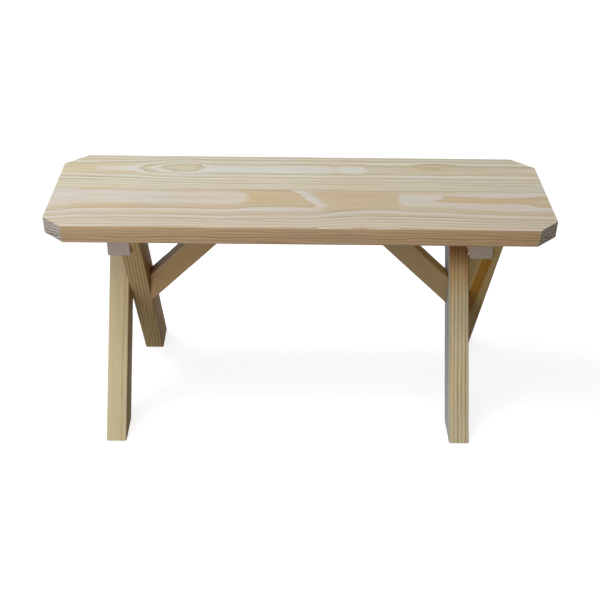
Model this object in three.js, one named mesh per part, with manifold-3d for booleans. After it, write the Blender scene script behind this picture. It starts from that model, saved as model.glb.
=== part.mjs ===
// A backless trestle bench in bare pine. A seat of two wide boards with clipped corners lies on
// two trestles. Each trestle is a pair of flat legs that cross face to face, halved at the top
// round a cleat that runs under both boards. A mitred brace runs from each crossing to the seat.
// Lengths are in millimetres and angles in degrees. X runs along the seat, Y from front to rear
// and Z up. The origin is on the floor, under the middle of the seat.
import * as THREE from 'three';
import { mergeVertices } from 'three/addons/utils/BufferGeometryUtils.js';
import Module from 'manifold-3d';

const wasm = await Module();
wasm.setup();

// Seat
const seatLength = 914.4;
const seatWidth = 311.2;
const seatThickness = 33;
const seatHeight = 431.8;
const frontCornerClip = 35;
const rearCornerClip = 43;
const seatTopRound = 2;
const seatUnderRound = 1.5;

// Trestles
const trestleInset = 132;
const footSpread = 406.4;
const legTopSetback = 15.9;
const legWidth = 63.5;
const legThickness = 38;
const legRound = 3;

// Cleats
const cleatWidth = 40;
const cleatHeight = 38;
const cleatSetback = 25;
const cleatRound = 1.5;

// Braces
const braceSize = 40;
const braceAngle = 44;
const braceFootDrop = 45;
const braceRound = 2.5;

// Wood screws: flat heads with a square socket
const headRadius = 4.6;
const headRim = 0.5;
const headDepth = 2.9;
const shankRadius = 1.9;
const threadRadius = 2.4;
const tipLength = 6;
const socketWidth = 2.6;
const socketDepth = 2;
const plainShankShare = 0.35;

// Where the screws go, and how far they bite into the piece that they hold
const seatBite = 19;
const cleatBite = 24;
const legBite = 26;
const braceFootBite = 27;
const braceGrip = 16;
const crossingScrewOffset = 17;
const braceScrewOffset = 9;
const innerScrewShare = 0.36;
const outerScrewShare = 0.5;

// Fits and facets
const jointGap = 0.3;
const overrun = 60;
const weldTolerance = 0.0001;
const roundSteps = 3;
const seatRoundSteps = 4;
const screwSides = 12;
const holeSides = 16;
const rightAngle = Math.PI / 2;

// Places that follow from the sizes above
const undersideHeight = seatHeight - seatThickness;
const frameTop = undersideHeight - jointGap;
const trestlePlace = seatLength / 2 - trestleInset;
const legLean = leanOfLegs();
const footLength = legWidth / Math.cos(legLean);
const crossingHeight = (footSpread - footLength) / 2 / Math.tan(legLean);
const cleatLength = seatWidth - 2 * cleatSetback;
const cleatBottom = frameTop - cleatHeight;
const legInnerFace = legThickness + jointGap / 2;
const cheekScrewPlace = (cleatBottom + cleatHeight / 2 - crossingHeight) * Math.tan(legLean);
const braceSlope = THREE.MathUtils.degToRad(braceAngle);
const braceFootPlane = legInnerFace + jointGap;
const braceFootHeight = crossingHeight - braceFootDrop;
const braceReach = braceFootPlane + (frameTop - braceFootHeight) / Math.tan(braceSlope);

// The lean that takes a leg of this width from the foot spread to its place under the seat.
function leanOfLegs() {
  const topSpread = seatWidth - 2 * legTopSetback;
  const run = (footSpread + topSpread) / 2;
  return Math.acos(legWidth / Math.hypot(run, frameTop)) - Math.atan2(frameTop, run);
}

// Solids and meshes
function toSolid(geometry) {
  const bare = geometry.clone();
  bare.deleteAttribute('normal');
  bare.deleteAttribute('uv');
  const welded = mergeVertices(bare, weldTolerance);
  const vertProperties = new Float32Array(welded.attributes.position.array);
  const triVerts = new Uint32Array(welded.index.array);
  return new wasm.Manifold(new wasm.Mesh({ numProp: 3, vertProperties, triVerts }));
}

function toGeometry(solid) {
  const { vertProperties, triVerts } = solid.getMesh();
  const geometry = new THREE.BufferGeometry();
  geometry.setAttribute('position', new THREE.BufferAttribute(vertProperties, 3));
  geometry.setIndex(new THREE.BufferAttribute(triVerts, 1));
  geometry.computeVertexNormals();
  return geometry;
}

function cutAll(solid, cutters) {
  return cutters.reduce((rest, cutter) => rest.subtract(cutter), solid);
}

// A box between two corners.
function block(low, high) {
  const size = new THREE.Vector3().subVectors(high, low);
  const middle = new THREE.Vector3().addVectors(low, high).divideScalar(2);
  return toSolid(new THREE.BoxGeometry(size.x, size.y, size.z).translate(middle.x, middle.y, middle.z));
}

// A planed bar with eased edges: its section lies in X and Y, and its length along Z.
function planedBar(width, depth, round, length) {
  const x = width / 2 - round;
  const y = depth / 2 - round;
  const section = new THREE.Shape();
  section.absarc(x, y, round, 0, rightAngle);
  section.absarc(-x, y, round, rightAngle, 2 * rightAngle);
  section.absarc(-x, -y, round, 2 * rightAngle, 3 * rightAngle);
  section.absarc(x, -y, round, 3 * rightAngle, 4 * rightAngle);
  const options = { depth: length, bevelEnabled: false, curveSegments: roundSteps };
  return new THREE.ExtrudeGeometry(section, options).translate(0, 0, -length / 2);
}

// Screws. A screw points down its own Y axis, with the top of its head at its origin.
function screwOutline(length) {
  const plainEnd = -headDepth - (length - headDepth) * plainShankShare;
  return [
    new THREE.Vector2(0, -length),
    new THREE.Vector2(threadRadius, tipLength - length),
    new THREE.Vector2(threadRadius, plainEnd),
    new THREE.Vector2(shankRadius, plainEnd),
    new THREE.Vector2(shankRadius, -headDepth),
    new THREE.Vector2(headRadius, -headRim),
    new THREE.Vector2(headRadius, 0),
    new THREE.Vector2(0, 0),
  ];
}

function screwSolid(length) {
  const body = toSolid(new THREE.LatheGeometry(screwOutline(length), screwSides));
  const reach = new THREE.Vector3(socketWidth / 2, socketDepth, socketWidth / 2);
  const socket = block(reach.clone().negate(), reach);
  return body.subtract(socket);
}

// What is drilled for a screw: its hole, its countersink and the way in above its head.
function screwHole(screw) {
  const holeRadius = threadRadius + jointGap;
  const sinkRadius = headRadius + jointGap;
  const outline = [
    new THREE.Vector2(0, -screw.length - jointGap),
    new THREE.Vector2(holeRadius, -screw.length - jointGap),
    new THREE.Vector2(holeRadius, -headDepth - jointGap),
    new THREE.Vector2(sinkRadius, -headRim - jointGap),
    new THREE.Vector2(sinkRadius, overrun),
    new THREE.Vector2(0, overrun),
  ];
  const geometry = new THREE.LatheGeometry(outline, holeSides);
  return toSolid(geometry.applyMatrix4(placeOf(screw)));
}

function placeOf(screw) {
  const down = new THREE.Vector3(0, -1, 0);
  const turn = new THREE.Quaternion().setFromUnitVectors(down, screw.direction);
  const place = new THREE.Matrix4().makeRotationFromQuaternion(turn);
  return place.setPosition(screw.head);
}

function screwAt(name, length, head, direction) {
  return { name, length, head, direction };
}

// The screws of one end of the bench, in the frame of its trestle: X points to the middle of
// the bench from the plane between the legs, and the outer leg has its foot at negative Y.
function cleatScrews() {
  const up = new THREE.Vector3(0, 0, 1);
  const inner = cheekScrewPlace * innerScrewShare;
  const outer = THREE.MathUtils.lerp(cheekScrewPlace, cleatLength / 2, outerScrewShare);
  return [-outer, -inner, inner, outer].map((y, index) => {
    const x = Math.sign(y) * cleatWidth / 4;
    const head = new THREE.Vector3(x, y, cleatBottom);
    return screwAt(`cleat_screw_${index + 1}`, cleatHeight + seatBite, head, up);
  });
}

function cheekScrews() {
  const height = cleatBottom + cleatHeight / 2;
  const length = legThickness - cleatWidth / 2 + cleatBite;
  return ['outer', 'inner'].map((name, index) => {
    const side = index === 0 ? -1 : 1;
    const head = new THREE.Vector3(side * legInnerFace, -side * cheekScrewPlace, height);
    return screwAt(`leg_top_screw_${name}`, length, head, new THREE.Vector3(-side, 0, 0));
  });
}

function crossingScrews() {
  const inward = new THREE.Vector3(1, 0, 0);
  return ['front', 'rear'].map((name, index) => {
    const y = index === 0 ? -crossingScrewOffset : crossingScrewOffset;
    const head = new THREE.Vector3(-legInnerFace, y, crossingHeight);
    return screwAt(`crossing_screw_${name}`, legThickness + legBite, head, inward);
  });
}

function braceFootScrew() {
  const height = braceFootHeight + braceSize / 2 / Math.cos(braceSlope);
  const head = new THREE.Vector3(braceFootPlane + braceGrip, 0, height);
  return screwAt('brace_foot_screw', braceGrip + braceFootBite, head, new THREE.Vector3(-1, 0, 0));
}

function braceHeadScrews() {
  const up = new THREE.Vector3(0, 0, 1);
  const x = braceReach - braceSize / 2 / Math.sin(braceSlope);
  return ['front', 'rear'].map((name, index) => {
    const y = index === 0 ? -braceScrewOffset : braceScrewOffset;
    const head = new THREE.Vector3(x, y, frameTop - braceGrip);
    return screwAt(`brace_head_screw_${name}`, braceGrip + seatBite, head, up);
  });
}

// Wooden pieces of one end, in the same frame
function crossedLeg(turn, screws) {
  const length = 2 * seatHeight / Math.cos(legLean);
  const bar = planedBar(legThickness, legWidth, legRound, length);
  bar.rotateX(-legLean);
  bar.translate(-(legThickness + jointGap) / 2, 0, crossingHeight);
  bar.rotateZ(turn);
  const reach = seatWidth + footSpread;
  const corner = new THREE.Vector3(legThickness + overrun, reach, frameTop);
  const slab = block(new THREE.Vector3(-corner.x, -reach, 0), corner);
  const notchSide = cleatWidth / 2 + jointGap;
  const notch = block(
    new THREE.Vector3(-notchSide, -reach, cleatBottom - jointGap),
    new THREE.Vector3(notchSide, reach, seatHeight),
  );
  return cutAll(toSolid(bar).intersect(slab), [notch, ...screws.map(screwHole)]);
}

function cleat(screws) {
  const bar = planedBar(cleatWidth, cleatHeight, cleatRound, cleatLength);
  bar.rotateX(rightAngle).translate(0, 0, cleatBottom + cleatHeight / 2);
  return cutAll(toSolid(bar), screws.map(screwHole));
}

function mitredBrace(screws) {
  const span = Math.hypot(braceReach, frameTop);
  const bar = planedBar(braceSize, braceSize, braceRound, 2 * span);
  bar.translate(-braceSize / 2, 0, 0).rotateY(rightAngle - braceSlope);
  bar.translate(braceFootPlane, 0, braceFootHeight);
  const corner = new THREE.Vector3(braceReach + overrun, braceSize, frameTop);
  const room = block(new THREE.Vector3(braceFootPlane, -braceSize, 0), corner);
  return cutAll(toSolid(bar).intersect(room), screws.map(screwHole));
}

// A seat board, at negative Y. Its outer long edges are eased and its inner one, against the other
// board, is square. Its ends and clipped corners are plain saw cuts.
function seatBoard(cornerClip, screws) {
  const front = -seatWidth / 2;
  const seam = -jointGap / 2;
  const easedTop = seatHeight - seatTopRound;
  const easedUnder = undersideHeight + seatUnderRound;
  const section = new THREE.Shape();
  section.moveTo(seam, undersideHeight);
  section.lineTo(seam, seatHeight);
  section.absarc(front + seatTopRound, easedTop, seatTopRound, rightAngle, 2 * rightAngle);
  section.absarc(front + seatUnderRound, easedUnder, seatUnderRound, 2 * rightAngle, 3 * rightAngle);
  const length = seatLength + 2 * overrun;
  const options = { depth: length, bevelEnabled: false, curveSegments: seatRoundSteps };
  const bar = new THREE.ExtrudeGeometry(section, options).translate(0, 0, -length / 2);
  const along = new THREE.Vector3(1, 0, 0);
  const across = new THREE.Vector3(0, 1, 0);
  const up = new THREE.Vector3(0, 0, 1);
  bar.applyMatrix4(new THREE.Matrix4().makeBasis(across, up, along));

  const end = seatLength / 2;
  const corners = [
    new THREE.Vector2(-end, overrun),
    new THREE.Vector2(-end, front + cornerClip),
    new THREE.Vector2(-end + cornerClip + overrun, front - overrun),
    new THREE.Vector2(end - cornerClip - overrun, front - overrun),
    new THREE.Vector2(end, front + cornerClip),
    new THREE.Vector2(end, overrun),
  ];
  const plan = new THREE.Shape(corners);
  const sawn = new THREE.ExtrudeGeometry(plan, { depth: seatHeight + overrun, bevelEnabled: false });
  return cutAll(toSolid(bar).intersect(toSolid(sawn)), screws.map(screwHole));
}

// Finishes
const seatFinish = { color: 0xcdbd9b, roughness: 0.6, metalness: 0 };
const legFinish = { color: 0xbca67c, roughness: 0.65, metalness: 0 };
const cleatFinish = { color: 0xa69a86, roughness: 0.75, metalness: 0 };
const braceFinish = { color: 0xa38a60, roughness: 0.65, metalness: 0 };
const screwFinish = { color: 0xb4b2a6, roughness: 0.35, metalness: 1 };

function named(name, geometry, finish) {
  const mesh = new THREE.Mesh(geometry, new THREE.MeshStandardMaterial(finish));
  mesh.name = name;
  return mesh;
}

function screwMesh(screw, end) {
  const mesh = named(`${screw.name}_${end}`, toGeometry(screwSolid(screw.length)), screwFinish);
  mesh.applyMatrix4(placeOf(screw));
  return mesh;
}

// One end of the bench, turned half round for the right-hand one.
const seatScrews = [...cleatScrews(), ...braceHeadScrews()];
const endScrews = [...seatScrews, ...cheekScrews(), ...crossingScrews(), braceFootScrew()];
const outerLeg = toGeometry(crossedLeg(0, [cheekScrews()[0], ...crossingScrews()]));
const innerLegScrews = [cheekScrews()[1], ...crossingScrews(), braceFootScrew()];
const innerLeg = toGeometry(crossedLeg(Math.PI, innerLegScrews));
const cleatBar = toGeometry(cleat([...cleatScrews(), ...cheekScrews()]));
const brace = toGeometry(mitredBrace([...braceHeadScrews(), braceFootScrew()]));

function placeEnd(end, group) {
  const side = end === 'left' ? -1 : 1;
  group.position.x = side * trestlePlace;
  group.rotation.z = end === 'left' ? 0 : Math.PI;
  group.updateMatrixWorld();
  return group;
}

function benchEnd(end) {
  const group = new THREE.Group();
  group.add(named(`leg_outer_${end}`, outerLeg, legFinish));
  group.add(named(`leg_inner_${end}`, innerLeg, legFinish));
  group.add(named(`cleat_${end}`, cleatBar, cleatFinish));
  group.add(named(`brace_${end}`, brace, braceFinish));
  endScrews.forEach((screw) => group.add(screwMesh(screw, end)));
  return placeEnd(end, group);
}

// The screws of both ends that reach the seat, in the frame of the bench.
function screwsIntoSeat() {
  return ['left', 'right'].flatMap((end) => {
    const { matrixWorld } = placeEnd(end, new THREE.Group());
    return seatScrews.map((screw) => ({
      ...screw,
      head: screw.head.clone().applyMatrix4(matrixWorld),
      direction: screw.direction.clone().transformDirection(matrixWorld),
    }));
  });
}

const boardScrews = screwsIntoSeat().filter((screw) => screw.head.y < 0);
const frontGeometry = toGeometry(seatBoard(frontCornerClip, boardScrews));
const rearGeometry = toGeometry(seatBoard(rearCornerClip, boardScrews));
const frontBoard = named('seat_board_front', frontGeometry, seatFinish);
const rearBoard = named('seat_board_rear', rearGeometry, seatFinish);
rearBoard.rotation.z = Math.PI;

const bench = new THREE.Group();
bench.add(frontBoard, rearBoard, benchEnd('left'), benchEnd('right'));

export default bench;
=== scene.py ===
"""A backless bench in bare planed pine: two clipped seat boards on two crossed-leg trestles."""
import math

import bmesh
import bpy
from mathutils import Matrix, Vector, noise


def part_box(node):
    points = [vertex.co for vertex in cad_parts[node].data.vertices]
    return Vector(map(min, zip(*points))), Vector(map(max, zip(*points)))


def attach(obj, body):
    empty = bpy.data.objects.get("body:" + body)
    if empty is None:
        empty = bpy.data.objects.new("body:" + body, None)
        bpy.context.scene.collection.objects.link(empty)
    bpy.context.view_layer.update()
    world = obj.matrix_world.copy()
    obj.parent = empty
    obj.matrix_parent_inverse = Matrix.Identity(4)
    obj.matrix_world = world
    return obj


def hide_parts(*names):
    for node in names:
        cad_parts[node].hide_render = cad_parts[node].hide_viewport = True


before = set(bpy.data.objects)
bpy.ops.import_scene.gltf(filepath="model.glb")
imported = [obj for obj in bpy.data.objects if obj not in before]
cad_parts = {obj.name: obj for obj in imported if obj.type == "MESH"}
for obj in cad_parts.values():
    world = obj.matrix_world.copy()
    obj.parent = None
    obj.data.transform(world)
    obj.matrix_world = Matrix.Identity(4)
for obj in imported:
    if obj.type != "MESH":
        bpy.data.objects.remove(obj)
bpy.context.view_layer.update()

bl_info = {
    "name": "Crossed-leg pine bench",
    "version": (1, 0, 0),
    "blender": (4, 5, 0),
    "location": "3D View > Sidebar > Bench",
    "description": "Dresses the bench's frame with pine boards, legs, cleats, braces and screws",
    "category": "Add Mesh",
}

MM = 0.001
MM_PER_M = 1000.0

# Which way each trestle stands from the middle of the bench
ENDS = {"left": -1, "right": 1}
HEX_BASE = 16
SMOOTH_BELOW = math.radians(32)

# Lengths in millimetres: how far a stick's sawn ends are broken, how deep, long and wide the worn
# places of its arrises are, how close points are joined after a cut, how far the cutters of holes
# and notches run past the wood, and the parts of a wood screw
BROKEN_EDGE = 0.7
WEAR = 0.35
WEAR_LENGTH = 26.0
WEAR_WIDTH = 12.0
WELD = 0.01
OVERRUN = 60.0
NOTCH_ROOM = 30.0
HEAD_RADIUS = 4.6
HEAD_RIM = 0.5
HEAD_DEPTH = 2.9
SOCKET_HALF = 1.3
SOCKET_DEPTH = 2.0
SOCKET_RIM = 0.15
SHANK_RADIUS = 1.9
THREAD_RADIUS = 2.4
THREAD_ROOT = 1.65
THREAD_PITCH = 2.6
THREAD_START = 0.4
TIP_LENGTH = 6.0
TIP_RADIUS = 0.05
HEAD_OUTLINE = ((SOCKET_HALF * 1.5, 0.0), (HEAD_RADIUS - 0.25, 0.0), (HEAD_RADIUS, -0.2),
                (HEAD_RADIUS, -HEAD_RIM), (SHANK_RADIUS, -HEAD_DEPTH))
FIBRE_RADIUS = 0.75
FLOOR_HALF = 15000.0
FLOOR_HEIGHTS = (-10.0, -0.2)

# The share of a screw that is plain shank, half the share of a pitch that a crest takes up, and
# how wide the bottom of the socket is for its mouth
PLAIN_SHARE = 0.35
CREST_SHARE = 0.28
SOCKET_TAPER = 0.9

# How many points go round a screw or its hole, up one turn of its thread, round and along a
# fibre, and along each side of a seat board
SCREW_SIDES = 16
THREAD_STEPS = 5
FIBRE_SIDES = 6
FIBRE_STEPS = 10
SEAT_POINTS = (14, 7, 100, 7, 14, 100)
SCREW_TURNS = [math.tau * at / SCREW_SIDES for at in range(SCREW_SIDES)]

# Where the lamps hang and what they point at, in metres
LAMP_PLACE = (-1.6, -0.25, 3.4)
FILL_PLACE = (-0.7, -2.2, 0.4)
LAMPS_AIM = (0, 0, 0.3)


def linear(code):
    """The linear colour of an sRGB hex value such as C8B090."""
    parts = [int(code[at:at + 2], HEX_BASE) / 255 for at in (0, 2, 4)]
    return tuple(c / 12.92 if c <= 0.04045 else ((c + 0.055) / 1.055) ** 2.4 for c in parts)


def box_mm(node):
    """A node's lowest and highest corner in millimetres."""
    low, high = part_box(node)
    return low * MM_PER_M, high * MM_PER_M


SEAT_LOW, SEAT_HIGH = box_mm("seat_board_front")
SEAT_TOP = SEAT_HIGH.z


class BenchSizes(bpy.types.PropertyGroup):
    """The sizes of the bench that its frame leaves open."""

    front_clip: bpy.props.FloatProperty(
        name="Front clips", description="How far the front corners of the seat are clipped",
        default=0.035, unit="LENGTH")
    rear_clip: bpy.props.FloatProperty(
        name="Rear clips", description="How far the rear corners of the seat are clipped",
        default=0.043, unit="LENGTH")
    clip_bevel: bpy.props.FloatProperty(
        name="Clip bevel", description="How much larger the front clips are at the underside",
        default=0.004, unit="LENGTH")
    seat_top_round: bpy.props.FloatProperty(
        name="Top edge", description="Radius of the seat's long upper edges", default=0.003,
        unit="LENGTH")
    seat_under_round: bpy.props.FloatProperty(
        name="Lower edge", description="Radius of the seat's long lower edges", default=0.0015,
        unit="LENGTH")
    saw_edge: bpy.props.FloatProperty(
        name="Sawn edge", description="How far the edges of a saw cut are broken", default=0.0004,
        unit="LENGTH")
    leg_width: bpy.props.FloatProperty(
        name="Leg width", description="Wide side of a leg", default=0.0635, unit="LENGTH")
    leg_round: bpy.props.FloatProperty(
        name="Leg arris", description="Radius of a leg's long edges", default=0.003, unit="LENGTH")
    cleat_round: bpy.props.FloatProperty(
        name="Cleat arris", description="Radius of a cleat's long edges", default=0.0015, unit="LENGTH")
    brace_round: bpy.props.FloatProperty(
        name="Brace arris", description="Radius of a brace's long edges", default=0.0025, unit="LENGTH")
    brace_angle: bpy.props.FloatProperty(
        name="Brace angle", description="How steeply a brace rises", default=math.radians(44),
        subtype="ANGLE")
    fit_gap: bpy.props.FloatProperty(
        name="Fit", description="Clearance between two pieces that touch", default=0.0003,
        unit="LENGTH")


class BenchColours(bpy.types.PropertyGroup):
    """The colours of the wood and of the screws."""

    rear_early: bpy.props.FloatVectorProperty(
        name="Rear board, pale", description="Spring wood of the rear board", subtype="COLOR",
        default=linear("E2DED4"))
    rear_tan: bpy.props.FloatVectorProperty(
        name="Rear board, tan", description="Summer wood of the rear board", subtype="COLOR",
        default=linear("D9CCB2"))
    rear_far_tan: bpy.props.FloatVectorProperty(
        name="Rear board, grey tan", description="Summer wood of the rear board near its edges",
        subtype="COLOR", default=linear("D9CCB2"))
    rear_late: bpy.props.FloatVectorProperty(
        name="Rear board, lines", description="Ring lines of the rear board", subtype="COLOR",
        default=linear("B3A27C"))
    front_early: bpy.props.FloatVectorProperty(
        name="Front board, pale", description="Spring wood of the front board", subtype="COLOR",
        default=linear("DCD2C6"))
    front_tan: bpy.props.FloatVectorProperty(
        name="Front board, tan", description="Summer wood of the front board", subtype="COLOR",
        default=linear("D4BE9D"))
    front_far_tan: bpy.props.FloatVectorProperty(
        name="Front board, grey tan", description="Summer wood of the front board near its edges",
        subtype="COLOR", default=linear("D4C5AE"))
    front_late: bpy.props.FloatVectorProperty(
        name="Front board, lines", description="Ring lines of the front board", subtype="COLOR",
        default=linear("B7A182"))
    leg_early: bpy.props.FloatVectorProperty(
        name="Legs, pale", description="Spring wood of the legs", subtype="COLOR",
        default=linear("E2D9C3"))
    leg_tan: bpy.props.FloatVectorProperty(
        name="Legs, tan", description="Summer wood of the legs", subtype="COLOR",
        default=linear("D8C29B"))
    leg_late: bpy.props.FloatVectorProperty(
        name="Legs, lines", description="Ring lines of the legs", subtype="COLOR",
        default=linear("B58E59"))
    # The colour of a darker ochre band down the outer right leg
    ochre_band: bpy.props.FloatVectorProperty(
        name="Ochre", description="The dark heart that one leg shows", subtype="COLOR",
        default=linear("E3C062"))
    zinc: bpy.props.FloatVectorProperty(
        name="Screws", description="Bright zinc plating", subtype="COLOR", default=linear("C3C4C6"))


class StudioSettings(bpy.types.PropertyGroup):
    """The camera, the lamp and the floor."""

    eye: bpy.props.FloatVectorProperty(
        name="Camera place", description="Where the camera stands", subtype="TRANSLATION",
        default=(-0.021935, -1.954400, 1.345000))
    yaw: bpy.props.FloatProperty(
        name="Yaw", description="How far the camera turns to the right", default=0.012294,
        subtype="ANGLE")
    pitch: bpy.props.FloatProperty(
        name="Pitch", description="How far the camera looks down", default=0.53198, subtype="ANGLE")
    roll: bpy.props.FloatProperty(
        name="Roll", description="How far the camera leans", default=0.015187, subtype="ANGLE")
    lens: bpy.props.FloatProperty(
        name="Lens", description="Focal length on a 36 mm sensor", default=69.219)
    lamp_power: bpy.props.FloatProperty(
        name="Lamp", description="Power of the large soft lamp", default=95.0, subtype="POWER")
    lamp_side: bpy.props.FloatProperty(
        name="Lamp size", description="Side of the square lamp", default=2.0, unit="LENGTH")
    fill_power: bpy.props.FloatProperty(
        name="Fill", description="Power of the low fill lamp in front", default=12.0,
        subtype="POWER")
    fill_side: bpy.props.FloatProperty(
        name="Fill size", description="Side of the square fill lamp", default=1.0, unit="LENGTH")
    sky: bpy.props.FloatProperty(
        name="Sky", description="Strength of the light from all round", default=0.6)
    bounce: bpy.props.FloatVectorProperty(
        name="Floor bounce", description="The colour that the floor throws back", subtype="COLOR",
        default=linear("544E44"))


# How each board and stick was cut from its log, in millimetres in the piece's own frame: along
# the grain, across, and up. The pith is the log's centre, and the rings are counted out from it.
# In the seat boards a ring's place is measured by the square of its distance from the pith.
SEAT_GRAIN = {
    "front": {
        "pith": (-36.0, -200.0),
        "rings": ((-4000, -0.9), (-2100, 0), (0, 1), (3000, 2), (5750, 3), (7650, 4), (9750, 5),
                  (12100, 6), (30000, 13.6)),
        "far": ((-457, -3900), (-427, -3300), (-397, -2500), (-337, -2130), (-277, -1970),
                (-217, -2000), (-157, -2280), (-97, -1950), (-37, -1800), (8, -1800), (41, -1000),
                (83, 100), (143, 700), (203, 450), (263, 100), (323, -600), (383, -850),
                (443, -1200)),
        "near": ((-457, -1600), (-367, -1950), (-121, -1950), (-103, -1500), (-67, -900),
                 (-13, -900), (6, -60), (9, 100), (26, 600), (38, 1500), (60, 1750), (165, 1750),
                 (176, 1500), (184, 600), (200, 300), (323, 260), (443, 200)),
        "blend": 40.0,
        "slant": (20.0, 70.0, 0.75),
        "calm": 0.15,
        "dips": ((274, -34, 16, 15, -900), (300, -28, 40, 6, -600), (372, -40, 95, 7, -900),
                 (450, -48, 24, 20, -1200), (110, -20, 60, 5, -500)),
        "ends": {"pith": (-60.0, 195.0), "spacing": 5.4, "phase": 0.2},
        "seed": 3.0,
    },
    "rear": {
        "pith": (94.0, 120.0),
        "rings": ((-1300, -0.56), (-150, 0), (700, 1), (2025, 2), (3181, 3), (4597, 4),
                  (5997, 5), (18597, 14)),
        "far": ((-457, 1480), (-427, 1450), (-397, 1400), (-337, 1200), (-277, 620), (-247, 330),
                (-217, 150), (-157, 0), (457, 0)),
        "near": ((-457, 1450), (-409, 1450), (-379, 1050), (-337, 1000), (-313, 700),
                 (-283, 150), (-265, -100), (-175, 0), (53, 0), (65, 180), (86, 0), (108, 0),
                 (140, 300), (263, 300), (275, 200), (315, 200), (330, 300), (457, 300)),
        "blend": 30.0,
        "slant": (70.0, 60.0, 0.0),
        "calm": 0.6,
        "dips": ((-222, 108, 29, 34, -1050), (259, 131, 50, 17, -520), (268, 101, 52, 13, 300)),
        "ends": {"pith": (60.0, 180.0), "spacing": 6.0, "phase": 0.5},
        "seed": 11.0,
    },
}
SEAT_LOOK = {
    "line": 1.0, "line_start": 0.7, "wander": 0.14, "streak": 0.08, "fibre": 0.07,
    "cool": linear("FCFFFF"), "warm": linear("FFFAF0"),
    # The edge colour is partly the edge grain's own colour and partly painted shade, and turns darker
    # towards the right end
    "side": linear("CFA97A"), "far_side": linear("BE9766"), "side_share": 0.8, "side_line": 0.4,
    "side_late": linear("6B4A2C"), "side_axis": 1,
    "end": linear("CBC1B2"), "end_share": 0.8, "end_line": 0.75, "end_late": linear("453E3A"),
}
STICK_GRAIN = {
    "leg_outer_left": {
        "pith": (60.0, -150.0), "slope": (0.0, 0.01), "spacing": 42.0, "phase": 0.06,
        "tone": "FFFBE9", "pale": 0.68, "spread": 0.15, "line": 0.4, "line_start": 0.92,
        # The side colour is painted shade on the leg's sides
        "wander": 0.05, "late": "BC8A52", "side": "AE8D52",
        # Painted light: paler towards the top, where the seat shades the leg
        "shift": ((-225, "E4E4E6"), (-75, "F0F0F1"), (30, "FFFFFF")),
    },
    "leg_inner_left": {
        "pith": (30.0, -80.0), "slope": (0.0, 0.03), "spacing": 6.2, "phase": 0.3,
        # The side colour is painted shade on the leg's sides
        "tone": "F0E3C8", "spread": 0.6, "line": 0.9, "late": "8C6C34", "side": "986A26",
        # Painted shade: darker towards the top, under the seat
        "shift": ((-40, "FFFFFF"), (60, "F3F3F3")),
    },
    "leg_inner_right": {
        "pith": (10.0, -95.0), "slope": (0.0, 0.004), "spacing": 7.0, "phase": 0.1,
        "tone": "FEFFF7", "pale": 0.47, "spread": 0.7, "line": 0.8, "late": "8E6A42",
        # The grey side colour is a painted cool reflection of the sky on the leg's sides
        "side": "C4C5BF",
        # Painted shade under the seat, with some browner wood: darker and browner towards the top
        "shift": ((-200, "E9E7E2"), (-60, "FFFDF6"), (20, "FBF6E8"), (66, "EFD4B6"),
                  (108, "A98059")),
    },
    "leg_outer_right": {
        "pith": (-70.0, 60.0), "slope": (0.0, 0.02), "spacing": 9.0, "phase": 0.5,
        "tone": "D2C5A1", "spread": 0.5, "line": 0.4,
        # A darker ochre band down the leg's front, where a slanting rod through the leg meets its
        # surface
        "band": (45.0, -9.1, 0.034, 16.2), "band_ends": ((212.0, 190.0), (-75.0, -25.0)),
    },
    "cleat_left": {
        "pith": (40.0, 30.0), "spacing": 8.0, "phase": 0.0, "tone": "F6EEE8", "spread": 0.5,
        "line": 0.25, "end": "B9A99F", "scores": 0.1,
    },
    "cleat_right": {
        "pith": (-50.0, 45.0), "spacing": 6.0, "phase": 0.2, "tone": "F6EEE8", "spread": 0.5,
        "line": 0.2, "end": "9F9489", "scores": 0.34,
    },
    "brace_left": {
        "pith": (-90.0, 60.0), "slope": (0.02, 0.0), "spacing": 7.5, "phase": 0.6,
        # Painted light: the pale tone lifts the top face, which lies in the seat's shade, above the
        # front's side colour
        "tone": "FFEFE0", "pale": 1.0, "spread": 0.15, "line": 0.08, "side": "AB8654",
    },
    "brace_right": {
        "pith": (90.0, -60.0), "slope": (0.02, 0.0), "spacing": 6.5, "phase": 0.2,
        # Painted light: the pale tone lifts the top face, which lies in the seat's shade, above the
        # front's side colour
        "tone": "FFE3AA", "pale": 0.8, "spread": 0.15, "line": 0.08, "side": "957E60",
    },
}

# Half the lengths in millimetres over which the painted light and shade along a leg runs and the
# tint of a seat board's edge runs, darker towards its right end, and how far one step of a piece's
# seed moves its noise along its three axes
PAINTED_LIGHT_REACH = 250.0
SEAT_REACH = 400.0
SEED_STEPS = (91, 37, 53)


def settings(name):
    """One of the scene's groups of settings."""
    return getattr(bpy.context.scene, name)


def size_mm(name):
    """One of the bench's sizes in millimetres."""
    return getattr(settings("bench_sizes"), name) * MM_PER_M


def emptied(owner):
    """The node tree of a new material or world, with nothing in it."""
    owner.use_nodes = True
    owner.node_tree.nodes.clear()
    return owner.node_tree


def add(tree, kind, links=(), operation=None, **values):
    """Adds a node with its settings, and sets its inputs to values or links them to sockets."""
    made = tree.nodes.new(f"ShaderNode{kind}")
    if operation:
        made.operation = operation
    for key, value in values.items():
        setattr(made, key, value)
    for key, value in dict(links).items():
        if isinstance(value, bpy.types.Node):
            value = next(socket for socket in value.outputs if socket.enabled)
        if isinstance(value, bpy.types.NodeSocket):
            tree.links.new(value, made.inputs[key])
        else:
            made.inputs[key].default_value = value
    return made


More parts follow.
